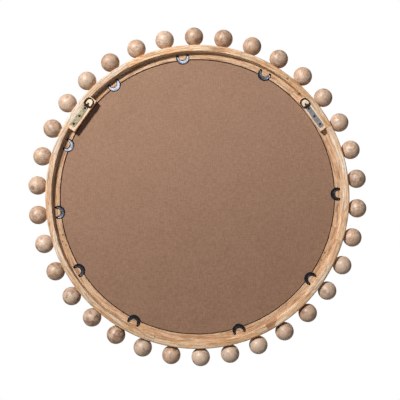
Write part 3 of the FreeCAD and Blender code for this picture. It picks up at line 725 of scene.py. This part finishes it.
class MIRROR_OT_finish_hangers(bpy.types.Operator):
    """Give the straps zinc, the loose rings dark wire and the screws black steel"""
    bl_idname = "beaded_mirror.finish_hangers"
    bl_label = "Finish hangers"

    def execute(self, context):
        metal = settings_of(context).metal
        left = metal_finish("zinc_yellow", metal.strap_left, metal.tarnish, blotch_scale=210.0,
                            amount=0.9, roughness=0.32, painted_fold_shade=True)
        right = metal_finish("zinc_grey", metal.strap_right, metal.tarnish, blotch_scale=110.0,
                             amount=0.5, roughness=0.36, painted_fold_shade=True)
        wire = metal_finish("dark_wire", metal.wire, tone(28, 24, 20), blotch_scale=300.0,
                            amount=0.6, roughness=0.3)
        screw = metal_finish("screw_steel", metal.screw, tone(24, 24, 30), blotch_scale=400.0,
                             amount=0.5, roughness=0.3)
        dress(left, "hanger_strap_left")
        dress(right, "hanger_strap_right")
        dress(wire, "hanging_ring_left", "hanging_ring_right")
        dress(screw, "hanger_screws")
        return {"FINISHED"}


def new_lamp(scene, name, place, target, power, width, height=None):
    """Area lamp that looks at a target: a rectangle, or a disk if it has no height."""
    lamp = bpy.data.lights.new(name, "AREA")
    lamp.shape = "RECTANGLE" if height else "DISK"
    lamp.size = width
    if height:
        lamp.size_y = height
    lamp.energy = power
    thing = bpy.data.objects.new(name, lamp)
    thing.location = place
    thing.rotation_euler = (Vector(target) - Vector(place)).to_track_quat("-Z", "Y").to_euler()
    thing.visible_camera = False
    scene.collection.objects.link(thing)
    return thing


class MIRROR_OT_make_studio(bpy.types.Operator):
    """Make the camera, the lights, the white surroundings and the floor"""
    bl_idname = "beaded_mirror.make_studio"
    bl_label = "Make studio"

    def execute(self, context):
        studio = settings_of(context).studio
        scene = context.scene
        view = bpy.data.cameras.new("camera")
        view.sensor_width = 36
        view.lens = view.sensor_width * studio.camera_distance / studio.picture_width
        camera = bpy.data.objects.new("camera", view)
        camera.location = (CAMERA_AIM[0], BEAD_DEPTH - studio.camera_distance, CAMERA_AIM[1])
        camera.rotation_euler = (math.radians(90), 0, 0)
        scene.collection.objects.link(camera)
        scene.camera = camera
        scene.view_settings.view_transform = "Standard"

        middle = (0, 0, 0)
        new_lamp(scene, "key_light", KEY_PLACE, middle, studio.key_power, 0.5)
        ahead = (CATCH_PLACE[0], 0, CATCH_PLACE[2])
        catch = new_lamp(scene, "catch_light", CATCH_PLACE, ahead, studio.catch_power, 0.23, 0.188)
        catch.visible_diffuse = False
        front = new_lamp(scene, "front_light", FRONT_PLACE, middle, studio.front_power, 1.2, 1.2)
        front.visible_glossy = False
        self.make_surroundings(scene, studio)
        self.make_floor(scene, studio)
        return {"FINISHED"}

    def make_surroundings(self, scene, studio):
        """White to the camera and in reflections, softer as a light."""
        world = bpy.data.worlds.new("surroundings")
        world.use_nodes = True
        scene.world = world
        nodes = NodeSet(world.node_tree)
        seen = self.seen_directly(nodes)
        background = world.node_tree.nodes["Background"]
        nodes.feed(background.inputs["Color"], (1, 1, 1))
        nodes.feed(background.inputs["Strength"], seen * (1 - studio.ambient) + studio.ambient)

    def seen_directly(self, nodes):
        """1 for rays from the camera, in reflections and through glass."""
        ray = nodes.add("ShaderNodeLightPath", output="Is Camera Ray")
        glossy = ray.calculate("MAXIMUM", ray, ray.other("Is Glossy Ray"))
        return glossy.calculate("MAXIMUM", glossy, ray.other("Is Transmission Ray"))

    def make_floor(self, scene, studio):
        """Pale round floor that turns into the white surroundings towards its rim."""
        shape = bmesh.new()
        bmesh.ops.create_circle(shape, cap_ends=True, segments=96, radius=6,
                                matrix=Matrix.Translation((0, 0, -studio.floor_drop)))
        mesh = bpy.data.meshes.new("floor")
        shape.to_mesh(mesh)
        shape.free()
        floor = bpy.data.objects.new("floor", mesh)
        scene.collection.objects.link(floor)
        finish = Finish("pale_floor")
        grain = finish.noise(finish.where, 3.0, 2.0)
        finish.surface(Base_Color=finish.mix(grain * 0.1, (0.84, 0.84, 0.84), (0.78, 0.78, 0.78)),
                       Roughness=0.9, Specular_IOR_Level=0.1)
        x, y, _ = finish.split(finish.where)
        far = finish.span(finish.vector(x, y, 0.0))
        rim = finish.fade(far, 2.2, 4.5) * self.seen_directly(finish)
        white = finish.add("ShaderNodeEmission", None, {"Color": (1, 1, 1), "Strength": 1.0})
        blend = finish.add("ShaderNodeMixShader", None,
                           {0: rim, 1: Value(finish, finish.shader.outputs[0]), 2: white})
        finish.feed(finish.tree.nodes["Material Output"].inputs["Surface"], blend)
        mesh.materials.append(finish.material)


OPERATORS = (
    MIRROR_OT_make_studio,
    MIRROR_OT_finish_band,
    MIRROR_OT_finish_front_layer,
    MIRROR_OT_finish_beads,
    MIRROR_OT_finish_blocks,
    MIRROR_OT_finish_panel,
    MIRROR_OT_finish_glass,
    MIRROR_OT_make_clips,
    MIRROR_OT_finish_hangers,
)


class MIRROR_PT_tools(bpy.types.Panel):
    """Steps that finish the mirror"""
    bl_idname = "MIRROR_PT_tools"
    bl_label = "Beaded mirror"
    bl_space_type = "VIEW_3D"
    bl_region_type = "UI"
    bl_category = "Mirror"

    def draw(self, context):
        for step in OPERATORS:
            self.layout.operator(step.bl_idname)


CLASSES = (WoodSettings, BeadSettings, PanelSettings, MetalSettings, ClipSettings, StudioSettings,
           MirrorSettings, *OPERATORS, MIRROR_PT_tools)


def register():
    for item in CLASSES:
        bpy.utils.register_class(item)
    bpy.types.Scene.beaded_mirror = PointerProperty(type=MirrorSettings)


def unregister():
    del bpy.types.Scene.beaded_mirror
    for item in reversed(CLASSES):
        bpy.utils.unregister_class(item)


def main():
    """Register everything and run each step in order."""
    register()
    for step in OPERATORS:
        group, name = step.bl_idname.split(".")
        getattr(getattr(bpy.ops, group), name)()


if __name__ == "__main__":
    main()
